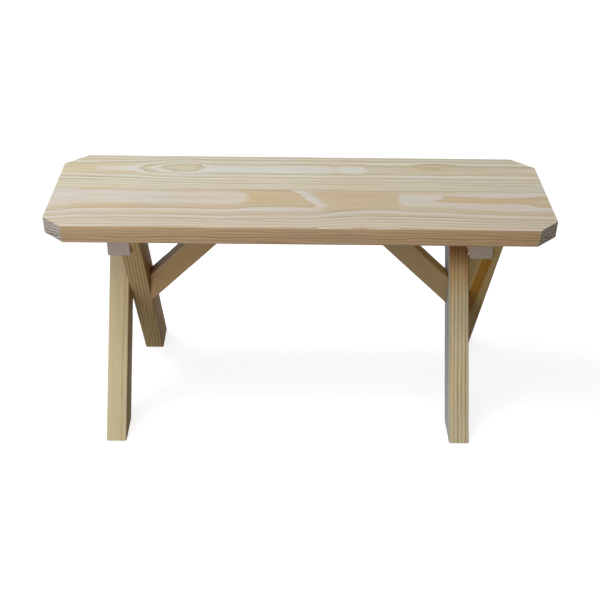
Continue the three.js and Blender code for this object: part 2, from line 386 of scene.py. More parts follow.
def through_curve(tree, value, points):
    """The height, in real units, at which a smooth line through the points passes the value."""
    places = [point[0] for point in points]
    heights = [point[1] for point in points]
    left, right, low, high = min(places), max(places), min(heights), max(heights)
    share = add(tree, "MapRange", {0: value, 1: left, 2: right})
    line = add(tree, "FloatCurve", {1: share})
    curve = line.mapping.curves[0]
    for _ in range(len(points) - len(curve.points)):
        curve.points.new(0.5, 0.5)
    for point, place, height in zip(curve.points, places, heights):
        point.location = ((place - left) / (right - left), (height - low) / (high - low))
        point.handle_type = "AUTO_CLAMPED"
    line.mapping.update()
    return add(tree, "MapRange", {0: line, 3: low, 4: high})


def colour_run(tree, value, stops):
    """A run of colours through stops, each a place from 0 to 1 and a colour."""
    ramp = add(tree, "ValToRGB", {0: value})
    elements = ramp.color_ramp.elements
    elements[0].position, elements[1].position = stops[0][0], stops[-1][0]
    for place, _ in stops[1:-1]:
        elements.new(place)
    for element, (_, colour) in zip(elements, stops):
        element.color = (*colour, 1)
    return ramp


def bell(tree, square):
    """A bell curve over a squared distance: 1 in the middle, and next to nothing beyond 2."""
    fall = add(tree, "Math", {0: square, 1: -1.0}, "MULTIPLY")
    return add(tree, "Math", {0: fall}, "EXPONENT")


def along_grain(tree, place, reach, girth, seen=(0.0, 1.0), to=(0.0, 1.0), detail=1.0):
    """Noise drawn out along the fibres, reach by girth in mm, whose seen part runs to a range."""
    scaled = add(tree, "VectorMath", {0: place, 1: (1 / reach, 1 / girth, 1 / girth)}, "MULTIPLY")
    cloud = add(tree, "TexNoise", {"Vector": scaled, "Scale": 1.0, "Detail": detail})
    return add(tree, "MapRange", {0: cloud, 1: seen[0], 2: seen[1], 3: to[0], 4: to[1]})


def by_year(tree, rings, low, high):
    """A strength from low to high that is left to chance for each year."""
    year = add(tree, "Math", {0: rings}, "FLOOR")
    chance = add(tree, "TexWhiteNoise", {"W": year}, noise_dimensions="1D")
    return add(tree, "MapRange", {0: chance, 3: low, 4: high})


def seat_rings(tree, mm, axes, grain):
    """The ring count in a seat board, whose rings dip and swell along its length."""
    x, y, _ = axes
    pith_y, pith_height = grain["pith"]
    slant_x, slant_half, slant = grain["slant"]
    away = add(tree, "Math", {0: x, 1: slant_x}, "SUBTRACT")
    away = add(tree, "Math", {0: away, 1: slant_half}, "DIVIDE")
    away = add(tree, "Math", {0: away, 1: away}, "MULTIPLY")
    away = add(tree, "Math", {0: bell(tree, away), 1: slant}, "MULTIPLY")
    ragged = along_grain(tree, mm, 60, 12, seen=(0.2, 0.8), to=(-1.0, 1.0))
    bent = add(tree, "VectorMath", {0: (12.0, 3.0, 0.0), "Scale": ragged}, "SCALE")
    bent = add(tree, "VectorMath", {0: bent, 1: mm}, "ADD")
    ragged = add(tree, "Math", {0: ragged, 1: 6.0, 2: x}, "MULTIPLY_ADD")
    apart = add(tree, "VectorMath", {0: mm, 1: (0, pith_y, pith_height)}, "SUBTRACT")
    flat = add(tree, "VectorMath", {0: apart, 1: (0, 1, 1)}, "MULTIPLY")
    square = add(tree, "VectorMath", {0: flat, 1: flat}, "DOT_PRODUCT")
    aside = add(tree, "Math", {0: y, 1: pith_y}, "SUBTRACT")
    leant = add(tree, "Math", {0: aside, 1: away}, "MULTIPLY")
    leant = add(tree, "Math", {0: leant, 1: ragged}, "ADD")
    aside = add(tree, "Math", {0: aside, 1: grain["blend"]}, "DIVIDE")
    aside = add(tree, "Math", {0: aside, 1: aside}, "MULTIPLY")
    share = bell(tree, aside)
    far = through_curve(tree, x, grain["far"])
    near = through_curve(tree, leant, grain["near"])
    swell = add(tree, "Mix", {0: share, 2: far, 3: near})
    total = add(tree, "Math", {0: square, 1: swell}, "ADD")
    total = add(tree, "Math", {0: total, 1: pith_height ** 2}, "SUBTRACT")
    for dip_x, dip_y, half_x, half_y, depth in grain["dips"]:
        apart = add(tree, "VectorMath", {0: bent, 1: (dip_x, dip_y, 0)}, "SUBTRACT")
        apart = add(tree, "VectorMath", {0: apart, 1: (1 / half_x, 1 / half_y, 0)}, "MULTIPLY")
        apart = add(tree, "VectorMath", {0: apart, 1: apart}, "DOT_PRODUCT")
        dip = add(tree, "Math", {0: bell(tree, apart), 1: depth}, "MULTIPLY")
        total = add(tree, "Math", {0: total, 1: dip}, "ADD")
    return through_curve(tree, total, grain["rings"]), share


def stick_rings(tree, mm, axes, grain):
    """The ring count in a stick: its distance from the log's pith over the ring spacing."""
    slope = add(tree, "VectorMath", {0: (1, *grain.get("slope", (0.0, 0.0))), "Scale": axes[0]},
                "SCALE")
    apart = add(tree, "VectorMath", {0: mm, 1: slope}, "SUBTRACT")
    apart = add(tree, "VectorMath", {0: apart, 1: (0, *grain["pith"])}, "SUBTRACT")
    reach = add(tree, "VectorMath", {0: apart}, "LENGTH")
    rings = add(tree, "Math", {0: reach, 1: grain["spacing"]}, "DIVIDE")
    return add(tree, "Math", {0: rings, 1: grain["phase"]}, "ADD"), 0.0


def pine(name, matrix, grain, look):
    """Bare planed pine.

    Broad pale spring wood darkens to a thin line of summer wood at the end of each year and
    then starts again at once. Planed with the grain, it shows soft silky streaks along the fibres
    and fine resin ducts, and where it is sawn across, it drinks light and looks grey and rough.
    """
    material = bpy.data.materials.new(name)
    tree = emptied(material)
    texture = add(tree, "TexCoord")
    turn = tuple(matrix.to_euler())
    mm = add(tree, "Mapping", {0: texture.outputs["Object"], "Location": tuple(matrix.translation),
                               "Rotation": turn, "Scale": (MM, MM, MM)}, vector_type="TEXTURE")
    facing = add(tree, "Mapping", {0: texture.outputs["Normal"], "Rotation": turn},
                 vector_type="TEXTURE")
    axes = add(tree, "SeparateXYZ", {0: mm}).outputs
    seed = grain.get("seed", grain.get("phase", 0) * 10)
    apart = add(tree, "VectorMath", {0: mm, 1: tuple(seed * step for step in SEED_STEPS)}, "ADD")

    # Slow wander of the rings along the log, then a finer ripple
    rings, calm = (seat_rings if "rings" in grain else stick_rings)(tree, mm, axes, grain)
    for reach, girth, amount in ((230, 34, look["wander"]), (46, 9, look["wander"] * 0.3)):
        drift = along_grain(tree, apart, reach, girth, to=(-amount, amount))
        rings = add(tree, "Math", {0: rings, 1: drift}, "ADD")
    part = add(tree, "Math", {0: rings}, "FRACT")

    # Colour through one year, with a line that is stronger in some years than in others
    tans = []
    for tan in ("tan", "far_tan"):
        stops = ((0.0, tan), (0.05, "early"), (0.27, "early"), (0.52, tan), (1.0, tan))
        tans.append(colour_run(tree, part, [(place, look[colour]) for place, colour in stops]))
    ramp = add(tree, "Mix", {0: calm, 6: tans[1], 7: tans[0]}, data_type="RGBA")
    line = add(tree, "MapRange", {0: part, 1: look["line_start"], 2: 0.93},
               interpolation_type="SMOOTHSTEP")
    strength = by_year(tree, rings, look["line"] * 0.5, look["line"])
    line = add(tree, "Math", {0: line, 1: strength}, "MULTIPLY")
    calm = add(tree, "MapRange", {0: calm, 3: 1.0, 4: grain.get("calm", 1.0)})
    line = add(tree, "Math", {0: line, 1: calm}, "MULTIPLY")

    # The edges and sawn ends of a seat board show closer rings than its upper face
    edge_line = line
    if "ends" in grain:
        arcs, _ = stick_rings(tree, mm, axes, grain["ends"])
        drift = along_grain(tree, apart, 110, 14, to=(-0.9, 0.9))
        arcs = add(tree, "Math", {0: arcs, 1: drift}, "ADD")
        rise = add(tree, "Math", {0: arcs}, "FRACT")
        rise = add(tree, "MapRange", {0: rise, 1: 0.3, 2: 0.8}, interpolation_type="SMOOTHSTEP")
        edge_line = add(tree, "Math", {0: rise, 1: by_year(tree, arcs, 0.5, 1.0)}, "MULTIPLY")
    fade = along_grain(tree, apart, 90, 11, seen=(0.35, 0.6), to=(0.35, 1.1), detail=2.0)
    line = add(tree, "Math", {0: line, 1: fade}, "MULTIPLY")
    colour = add(tree, "Mix", {0: line, 6: ramp, 7: (*look["late"], 1)}, data_type="RGBA")
    facing = add(tree, "VectorMath", {0: facing}, "ABSOLUTE")
    facing = add(tree, "SeparateXYZ", {0: facing}).outputs
    across = add(tree, "MapRange", {0: facing[0], 1: 0.45, 2: 0.68},
                 interpolation_type="SMOOTHSTEP")
    sideways = add(tree, "MapRange", {0: facing[look["side_axis"]], 1: 0.55, 2: 0.95},
                   interpolation_type="SMOOTHSTEP")

    # A darker ochre band where a slanting rod through the leg meets its surface, and painted light and
    # shade along a leg
    if "band" in grain:
        band_y, band_z, band_slope, band_radius = grain["band"]
        rise = add(tree, "Math", {0: axes[0], 1: band_slope}, "MULTIPLY")
        spine = add(tree, "CombineXYZ", {0: axes[0], 1: band_y, 2: rise})
        spine = add(tree, "VectorMath", {0: spine, 1: (0, 0, band_z)}, "ADD")
        reach = add(tree, "VectorMath", {0: mm, 1: spine}, "DISTANCE")
        inside = add(tree, "MapRange", {0: reach, 1: band_radius + 1, 2: band_radius - 1})
        for start, stop in grain["band_ends"]:
            limit = add(tree, "MapRange", {0: axes[0], 1: start, 2: stop})
            inside = add(tree, "Math", {0: inside, 1: limit}, "MULTIPLY")
        colour = add(tree, "Mix", {0: inside, 6: colour, 7: (*look["ochre_band"], 1)},
                     data_type="RGBA", blend_type="MULTIPLY")
    # Painted light and shade along a leg, standing in for the seat's shade over its top
    if "shift" in grain:
        share = add(tree, "MapRange", {0: axes[0], 1: -PAINTED_LIGHT_REACH, 2: PAINTED_LIGHT_REACH})
        stops = [((place + PAINTED_LIGHT_REACH) / (2 * PAINTED_LIGHT_REACH), linear(code))
                 for place, code in grain["shift"]]
        colour = add(tree, "Mix", {0: 1.0, 6: colour, 7: colour_run(tree, share, stops)},
                     data_type="RGBA", blend_type="MULTIPLY")

    # Streaks along the fibres, broad and fine, and resin ducts 0.3 mm wide, drawn 0.6 mm wide
    shade = 1.0
    for reach, girth, detail, sort in ((140, 5.0, 2, "streak"), (45, 1.1, 3, "fibre")):
        fibre = along_grain(tree, apart, reach, girth, seen=(0.2, 0.8),
                            to=(1 - look[sort], 1 + look[sort]), detail=detail)
        shade = add(tree, "Math", {0: fibre, 1: shade}, "MULTIPLY")
    ducts = along_grain(tree, apart, 9, 0.6, seen=(0.7, 0.8), to=(1.0, 0.86), detail=0.0)
    shade = add(tree, "Math", {0: shade, 1: ducts}, "MULTIPLY")

    # Warmer and cooler patches some 100 mm long
    patch = along_grain(tree, apart, 170, 42, seen=(0.3, 0.7), detail=2.0)
    patch = add(tree, "Mix", {0: patch, 6: (*look["cool"], 1), 7: (*look["warm"], 1)},
                data_type="RGBA")
    colour = add(tree, "Mix", {0: 1.0, 6: colour, 7: patch}, data_type="RGBA",
                 blend_type="MULTIPLY")

    # The sides and the sawn ends get colours of their own, and show the lines more strongly. The sawn
    # ends' grey is the end grain's own; the seat boards' edge colour is partly the edge grain's own and
    # partly painted shade; the legs' side colour is painted shade, and on the inner right leg a painted
    # cool reflection; the braces' fronts take the side colour, and their paler top faces are painted
    # light
    share = add(tree, "MapRange", {0: axes[0], 1: -SEAT_REACH, 2: SEAT_REACH})
    side = add(tree, "Mix", {0: share, 6: (*look["side"], 1), 7: (*look["far_side"], 1)},
               data_type="RGBA")
    for place, name, tint in ((sideways, "side", side), (across, "end", (*look["end"], 1))):
        share = add(tree, "Math", {0: place, 1: look[f"{name}_share"]}, "MULTIPLY")
        colour = add(tree, "Mix", {0: share, 6: colour, 7: tint}, data_type="RGBA")
        darker = add(tree, "Math", {0: edge_line, 1: place}, "MULTIPLY")
        darker = add(tree, "Math", {0: darker, 1: look[f"{name}_line"]}, "MULTIPLY")
        colour = add(tree, "Mix", {0: darker, 6: colour, 7: (*look[f"{name}_late"], 1)},
                     data_type="RGBA")

    # The saw leaves slanting scores 3 mm apart across the end grain, and some cuts cross
    scores = 0.0
    for way, deep in (((0, 1.48, 1.48), 1.0), ((0, 1.48, -1.48), 0.7)):
        score = add(tree, "VectorMath", {0: mm, 1: way}, "DOT_PRODUCT")
        score = add(tree, "Math", {0: score}, "SINE")
        scores = add(tree, "Math", {0: score, 1: deep, 2: scores}, "MULTIPLY_ADD")
    scores = add(tree, "Math", {0: scores, 1: across}, "MULTIPLY")
    bared = add(tree, "Math", {0: scores, 1: grain.get("scores", 0.02), 2: shade}, "MULTIPLY_ADD")
    bare = add(tree, "VectorMath", {0: colour, "Scale": bared}, "SCALE")
    height = add(tree, "Math", {0: scores, 1: 0.5}, "MULTIPLY")
    for relief in (shade, line):
        height = add(tree, "Math", {0: height, 1: relief}, "ADD")
    bump = add(tree, "Bump", {"Strength": 0.5, "Distance": 0.1 * MM, "Height": height})

    rough = add(tree, "MapRange", {0: line, 3: 0.58, 4: 0.5})
    rough = add(tree, "Mix", {0: across, 2: rough, 3: 0.85})
    surface = add(tree, "BsdfPrincipled", {"Base Color": bare, "Roughness": rough, "Normal": bump,
                                           "IOR": 1.45, "Specular IOR Level": 0.06})
    add(tree, "OutputMaterial", {0: surface})
    return material


def zinc_steel(name, colour):
    """Zinc-plated steel, drawn and headed: bright, bluish and a little cloudy, with fine scuffs."""
    material = bpy.data.materials.new(name)
    tree = emptied(material)
    texture = add(tree, "TexCoord")
    mm = add(tree, "VectorMath", {0: texture.outputs["Object"], "Scale": MM_PER_M}, "SCALE")
    cloud = add(tree, "TexNoise", {"Vector": mm, "Scale": 0.6, "Detail": 3.0})
    scuff = add(tree, "TexNoise", {"Vector": mm, "Scale": 5.0, "Detail": 2.0})
    tone = add(tree, "MapRange", {0: cloud, 1: 0.3, 2: 0.7, 3: 0.86, 4: 1.0})
    colour = add(tree, "VectorMath", {0: colour, "Scale": tone}, "SCALE")
    rough = add(tree, "MapRange", {0: scuff, 1: 0.3, 2: 0.7, 3: 0.28, 4: 0.46})
    bump = add(tree, "Bump", {"Strength": 0.3, "Distance": 0.05 * MM, "Height": scuff})
    surface = add(tree, "BsdfPrincipled", {"Base Color": colour, "Roughness": rough,
                                           "Normal": bump, "Metallic": 1.0})
    add(tree, "OutputMaterial", {0: surface})
    return material


def skin(name, loops, matrix=Matrix()):
    """A closed mesh through loops of points in millimetres, each placed by a matrix in metres."""
    mesh = bpy.data.meshes.new(name)
    made = bmesh.new()
    rows = [[made.verts.new(matrix @ (Vector(point) * MM)) for point in loop] for loop in loops]
    for low, high in zip(rows, rows[1:]):
        for at in range(len(low)):
            after = (at + 1) % len(low)
            made.faces.new((low[at], low[after], high[after], high[at]))
    made.faces.new(reversed(rows[0]))
    made.faces.new(rows[-1])
    bmesh.ops.recalc_face_normals(made, faces=made.faces)
    made.to_mesh(mesh)
    made.free()
    piece = bpy.data.objects.new(name, mesh)
    bpy.context.scene.collection.objects.link(piece)
    return piece


def turned(name, rows, matrix):
    """A closed mesh about its Z axis, through rows of radii and their height in millimetres."""
    loops = [[(radius * math.cos(turn), radius * math.sin(turn), height)
              for radius, turn in zip(radii, SCREW_TURNS)] for radii, height in rows]
    return skin(name, loops, matrix)


def cut_away(piece, cutters):
    """Cuts the cutters out of a piece and removes them."""
    for cutter in cutters:
        cut = piece.modifiers.new("cut", "BOOLEAN")
        cut.operation = "DIFFERENCE"
        cut.solver = "EXACT"
        cut.object = cutter
    bpy.context.view_layer.update()
    shaped = piece.evaluated_get(bpy.context.evaluated_depsgraph_get())
    mesh = bpy.data.meshes.new_from_object(shaped)
    piece.modifiers.clear()
    old = piece.data
    piece.data = mesh
    made = bmesh.new()
    made.from_mesh(mesh)
    bmesh.ops.remove_doubles(made, verts=made.verts, dist=WELD * MM)
    bmesh.ops.dissolve_degenerate(made, edges=made.edges, dist=WELD * MM)
    made.to_mesh(mesh)
    made.free()
    bpy.data.meshes.remove(old)
    for cutter in cutters:
        bpy.data.meshes.remove(cutter.data)


def finish_piece(piece, node, material):
    """Gives a piece its finish, and puts it in the place of its CAD node."""
    piece.data.materials.clear()
    piece.data.materials.append(material)
    piece.data.shade_smooth()
    piece.data.set_sharp_from_angle(angle=SMOOTH_BELOW)
    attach(piece, "root")
    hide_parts(node)


def frame_of(origin, along, up):
    """A piece's own frame in metres: X along its grain and Z up, at an origin in millimetres."""
    along, up = Vector(along).normalized(), Vector(up).normalized()
    across = up.cross(along)
    turn = Matrix((along, across, up)).transposed().to_4x4()
    return Matrix.Translation(Vector(origin) * MM) @ turn


def section(half_y, half_z, radius, steps=5):
    """A rectangle with rounded corners, point by point."""
    points = []
    for number, (side_y, side_z) in enumerate(((1, 1), (-1, 1), (-1, -1), (1, -1))):
        for step in range(steps + 1):
            turn = (number + step / steps) * math.pi / 2
            points.append((side_y * (half_y - radius) + radius * math.cos(turn),
                           side_z * (half_z - radius) + radius * math.sin(turn)))
    return points


def stick(name, matrix, halves, radius, cuts, pitch=6.0):
    """A planed stick between two cuts, each a point and a direction in millimetres.

    Its arrises were eased by hand, so their radius wanders, and its ends are sawn and just
    broken at the edge.
    """
    outline = section(*halves, radius)
    origin = matrix.translation * MM_PER_M
    along, across, up = (matrix.to_3x3().col[at] for at in range(3))

    def ends(y, z):
        """How far along the stick the two cuts are, on the line through (y, z)."""
        for point, normal in cuts:
            normal = Vector(normal)
            yield ((Vector(point) - origin - y * across - z * up).dot(normal)
                   / along.dot(normal))

    start, stop = ends(0, 0)
    count = round((stop - start) / pitch)
    shares = [0.0, 0.0, *(at / count for at in range(1, count)), 1.0, 1.0]
    setbacks = [0.0, BROKEN_EDGE, *(0.0 for _ in range(1, count)), -BROKEN_EDGE, 0.0]
    loops = []
    for number, (share, setback) in enumerate(zip(shares, setbacks)):
        shrink = BROKEN_EDGE if number in (0, len(shares) - 1) else 0.0
        loop = []
        for y, z in outline:
            place = Vector((start + (stop - start) * share, y, z))
            worn = Vector((place.x / WEAR_LENGTH, y / WEAR_WIDTH, z / WEAR_WIDTH)) + origin
            wear = WEAR * max(0.0, noise.noise(worn))
            drawn_in = 1 - (wear + shrink) / min(halves)
            near, far = ends(y * drawn_in, z * drawn_in)
            loop.append((near + (far - near) * share + setback, y * drawn_in, z * drawn_in))
        loops.append(loop)
    return skin(name, loops, matrix)


def screw_way(node):
    """Where a screw's head is, the way it points and its length, from its CAD node."""
    low, high = box_mm(node)
    size = high - low
    middle = (low + high) / 2
    side = ENDS[node.rsplit("_", 1)[1]]
    if size.z > size.x:
        way = Vector((0, 0, 1))
    elif "inner" in node or "foot" in node:
        way = Vector((side, 0, 0))
    else:
        way = Vector((-side, 0, 0))
    length = max(size)
    return middle - way * length / 2, way, length


def screw_matrix(node):
    """A frame at the top of a screw's head, with Z out of the head."""
    head, way, _ = screw_way(node)
    turn = (-way).to_track_quat("Z", "Y").to_matrix().to_4x4()
    return Matrix.Translation(head * MM) @ turn


def drill(piece, screws, notches=()):
    """Cuts the notches out of a piece, and for each screw its hole, countersink and way in."""
    cutters = list(notches)
    gap = size_mm("fit_gap")
    hole, sink = THREAD_RADIUS + gap, HEAD_RADIUS + gap
    for screw in screws:
        _, _, length = screw_way(screw)
        outline = ((hole, -length - gap), (hole, -HEAD_DEPTH - gap), (sink, -HEAD_RIM - gap),
                   (sink, OVERRUN))
        rows = [([radius] * SCREW_SIDES, height) for radius, height in outline]
        cutters.append(turned("cutter", rows, screw_matrix(screw)))
    cut_away(piece, cutters)


def stick_look(node):
    """The tints of a leg, cleat or brace."""
    grain, colours = STICK_GRAIN[node], settings("bench_colours")
    tone = linear(grain["tone"])
    tan = tuple(part * share for part, share in zip(colours.leg_tan, tone))
    pale = tuple(part * share for part, share in zip(colours.leg_early, tone))
    tan = tuple(low + (high - low) * grain.get("pale", 0.0) for low, high in zip(tan, pale))
    early = tuple(low + (high - low) * grain["spread"] for low, high in zip(tan, pale))
    side = linear(grain.get("side", "FFFFFF"))
    return {
        "early": early, "tan": tan, "far_tan": tan,
        "late": linear(grain["late"]) if "late" in grain else tuple(colours.leg_late),
        "ochre_band": colours.ochre_band,
        "line": grain["line"], "line_start": grain.get("line_start", 0.6),
        "wander": grain.get("wander", 0.35), "streak": 0.06, "fibre": 0.05,
        "cool": linear("FFFFFF"), "warm": linear("FFF8EC"),
        # The side colour is painted shade on the left legs' sides and a painted cool sky reflection on
        # the inner right leg's sides; on the braces it tints the front faces, whose paler tops are
        # painted light
        "side": side, "far_side": side, "side_share": 0.8 if "side" in grain else 0.0,
        "side_line": 0.0, "side_late": linear("5E4A34"), "side_axis": 2,
        "end": linear(grain.get("end", "B4A184")), "end_share": 0.8, "end_line": 0.15,
        "end_late": linear("5E4A34"),
    }


def fit_stick(node, wood, shape, screws, notches=()):
    """A stick of wood in the place of its CAD node, drilled for its screws."""
    piece = stick(f"pine_{node}", *shape)
    drill(piece, screws, notches)
    finish_piece(piece, node, pine(wood, shape[0], STICK_GRAIN[node], stick_look(node)))


class BENCH_OT_seat_boards(bpy.types.Operator):
    """Makes the two clipped seat boards."""

    bl_idname = "bench.seat_boards"
    bl_label = "Seat boards"

    def execute(self, context):
        colours = settings("bench_colours")
        for side, turn in (("front", 1), ("rear", -1)):
            node = f"seat_board_{side}"
            matrix = Matrix.Translation((0, 0, SEAT_TOP * MM))
            bevel = size_mm("clip_bevel") if side == "front" else 0.0
            placed = [[(turn * x, turn * y, z - SEAT_TOP) for x, y, z in loop]
                      for loop in self.loops(size_mm(f"{side}_clip"), bevel)]
            board = skin(f"pine_{node}", placed, matrix)
            drill(board, [name for name in sorted(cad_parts)
                          if name.startswith(("cleat_screw", "brace_head_screw"))
                          and screw_way(name)[0].y * turn < 0])
            tints = {tint: getattr(colours, f"{side}_{tint}")
                     for tint in ("early", "tan", "far_tan", "late")}
            wood = pine(f"Planed pine seat board {side}", matrix, SEAT_GRAIN[side],
                        {**SEAT_LOOK, **tints})
            finish_piece(board, node, wood)
        return {"FINISHED"}

    @staticmethod
    def loops(clip, bevel, steps=6):
        """Outlines of the front board from its underside up: planed along, sawn at the ends."""
        top_round, under_round = size_mm("seat_top_round"), size_mm("seat_under_round")
        saw_edge = size_mm("saw_edge")
        depth = SEAT_TOP - SEAT_LOW.z
        turns = [step / steps * math.pi / 2 for step in range(steps + 1)]
        layers = [(under_round * (1 - math.sin(turn)), under_round * (1 - math.cos(turn)))
                  for turn in turns]
        layers += [(top_round * (1 - math.cos(turn)), depth - top_round * (1 - math.sin(turn)))
                   for turn in turns]
        made = []
        for inset, height in layers:
            broken = max(0.0, saw_edge - min(height, depth - height))
            end, seam, front = SEAT_HIGH.x - broken, SEAT_HIGH.y, SEAT_LOW.y + inset
            clip_end = (SEAT_LOW.y + clip + bevel * (1 - height / depth)
                        + broken * (math.sqrt(2) - 1))
            reach = end - (clip_end - front)
            corners = [(-end, seam), (-end, clip_end), (-reach, front), (reach, front),
                       (end, clip_end), (end, seam)]
            points = []
            for start, stop, count in zip(corners, corners[1:] + corners[:1], SEAT_POINTS):
                for number in range(count):
                    at = Vector(start).lerp(Vector(stop), number / count)
                    points.append((at.x, at.y, SEAT_LOW.z + height))
            made.append(points)
        return made


class BENCH_OT_legs(bpy.types.Operator):
    """Makes the four crossed legs, notched round the cleats."""

    bl_idname = "bench.legs"
    bl_label = "Crossed legs"

    def execute(self, context):
        width, radius, gap = size_mm("leg_width"), size_mm("leg_round"), size_mm("fit_gap")
        around = Vector((gap, 0, gap))
        for end in ENDS:
            low, high = box_mm(f"cleat_{end}")
            low, high = low - around, high + around
            for place in ("outer", "inner"):
                node = f"leg_{place}_{end}"
                matrix, cuts, half = self.own_frame(node, width)
                corners = [[(low.x, y, low.z), (high.x, y, low.z), (high.x, y, high.z + NOTCH_ROOM),
                            (low.x, y, high.z + NOTCH_ROOM)]
                           for y in (low.y - OVERRUN, high.y + OVERRUN)]
                screws = [f"leg_top_screw_{place}_{end}", f"crossing_screw_front_{end}",
                          f"crossing_screw_rear_{end}"]
                if place == "inner":
                    screws.append(f"brace_foot_screw_{end}")
                fit_stick(node, f"Planed pine leg {place} {end}",
                          (matrix, (width / 2, half), radius, cuts), screws,
                          notches=[skin("cutter", corners)])
        return {"FINISHED"}

    @staticmethod
    def own_frame(node, width):
        """A leg's own frame, its cuts and half its thickness, worked out from its CAD box."""
        low, high = box_mm(node)
        reach, height = high.y - low.y, high.z - low.z
        lean = math.acos(width / math.hypot(reach, height)) - math.atan2(height, reach)
        if node in ("leg_inner_left", "leg_outer_right"):
            lean = -lean
        matrix = frame_of((low + high) / 2, (0, math.sin(lean), math.cos(lean)), (1, 0, 0))
        return matrix, ((low, (0, 0, 1)), (high, (0, 0, 1))), (high.x - low.x) / 2


class BENCH_OT_cleats(bpy.types.Operator):
    """Makes the two cleats that tie the seat boards together."""

    bl_idname = "bench.cleats"
    bl_label = "Cleats"

    def execute(self, context):
        radius = size_mm("cleat_round")
        for end in ENDS:
            node = f"cleat_{end}"
            low, high = box_mm(node)
            matrix = frame_of((low + high) / 2, (0, 1, 0), (0, 0, 1))
            halves = ((high.x - low.x) / 2, (high.z - low.z) / 2)
            cuts = ((low, (0, 1, 0)), (high, (0, 1, 0)))
            screws = [f"cleat_screw_{number}_{end}" for number in range(1, 5)]
            screws += [f"leg_top_screw_outer_{end}", f"leg_top_screw_inner_{end}"]
            fit_stick(node, f"Sawn pine cleat {end}",
                      (matrix, halves, radius, cuts), screws)
        return {"FINISHED"}


class BENCH_OT_braces(bpy.types.Operator):
    """Makes the two mitred braces."""

    bl_idname = "bench.braces"
    bl_label = "Braces"

    def execute(self, context):
        angle, radius = settings("bench_sizes").brace_angle, size_mm("brace_round")
        for end, side in ENDS.items():
            node = f"brace_{end}"
            low, high = box_mm(node)
            half = (high.y - low.y) / 2
            foot_x = low.x if side < 0 else high.x
            foot = Vector((foot_x, 0, low.z + half / math.cos(angle)))
            along = Vector((-side * math.cos(angle), 0, math.sin(angle)))
            middle = foot + along * (high.z - foot.z) / along.z / 2
            cuts = ((foot, (1, 0, 0)), (high, (0, 0, 1)))
            screws = [f"brace_head_screw_front_{end}", f"brace_head_screw_rear_{end}",
                      f"brace_foot_screw_{end}"]
            fit_stick(node, f"Planed pine brace {end}",
                      (frame_of(middle, along, (0, 1, 0)), (half, half), radius, cuts), screws)
        return {"FINISHED"}


class BENCH_OT_screws(bpy.types.Operator):
    """Makes the wood screws, with their square sockets and threads."""

    bl_idname = "bench.screws"
    bl_label = "Wood screws"

    def execute(self, context):
        material = zinc_steel("Zinc-plated steel", tuple(settings("bench_colours").zinc))
        square = [SOCKET_HALF / max(abs(math.cos(a)), abs(math.sin(a))) for a in SCREW_TURNS]
        bottom = [SOCKET_TAPER * radius for radius in square]
        for node in sorted(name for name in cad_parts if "screw" in name):
            _, _, length = screw_way(node)
            plain = -HEAD_DEPTH - (length - HEAD_DEPTH) * PLAIN_SHARE
            rows = [(bottom, -SOCKET_DEPTH), (square, -SOCKET_RIM)]
            for radius, height in (*HEAD_OUTLINE, (SHANK_RADIUS, plain)):
                rows.append(([radius] * SCREW_SIDES, height))
            height = plain - THREAD_START
            while height > -length:
                rows.append(([self.thread(length, height, turn) for turn in SCREW_TURNS], height))
                height -= THREAD_PITCH / THREAD_STEPS
            rows.append(([TIP_RADIUS] * SCREW_SIDES, -length))
            screw = turned(f"zinc_{node}", rows, screw_matrix(node))
            finish_piece(screw, node, material)
        return {"FINISHED"}

    @staticmethod
    def thread(length, height, turn):
        """How far the thread stands out at a height and a turn round the screw."""
        taper = min(1.0, (length + height) / TIP_LENGTH)
        phase = (height / THREAD_PITCH + turn / math.tau) % 1.0
        crest = max(0.0, 1 - abs(phase - 0.5) / CREST_SHARE)
        return taper * (THREAD_ROOT + (THREAD_RADIUS - THREAD_ROOT) * crest) + TIP_RADIUS


class BENCH_OT_loose_fibres(bpy.types.Operator):
    """Makes the two loose fibres that the saw left hanging at the right cleat's front end."""

    bl_idname = "bench.loose_fibres"
    bl_label = "Loose fibres"

    def execute(self, context):
        node = "cleat_right"
        low, _ = box_mm(node)
        start = Vector((313.0, low.y + 0.8, low.z + 0.4))
        tips = (Vector((304.0, low.y - 1.5, 345.0)), Vector((306.5, low.y - 0.5, 343.5)))
        material = pine("Torn pine fibre", Matrix.Translation(start * MM), STICK_GRAIN[node],
                        stick_look(node))
        turns = [math.tau * at / FIBRE_SIDES for at in range(FIBRE_SIDES)]
        for number, tip in enumerate(tips):
            loops = []
            for step in range(FIBRE_STEPS + 1):
                # They curl, lie flatter than they are wide and thin out to the tip
                share = step / FIBRE_STEPS
                at = start.lerp(tip, share)
                at += Vector((1.6 * math.sin(share * 5 + number), 0.5 * number,
                              1.2 * math.sin(share * 4)))
                radius = FIBRE_RADIUS * (1 - share) + 0.12
                loops.append([(at.x + radius * math.cos(a), at.y + 0.6 * radius * math.sin(a), at.z)
                              for a in turns])
            fibre = skin(f"pine_fibre_{number + 1}", loops)
            fibre.data.materials.append(material)
            fibre.data.shade_smooth()
            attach(fibre, "root")
        return {"FINISHED"}


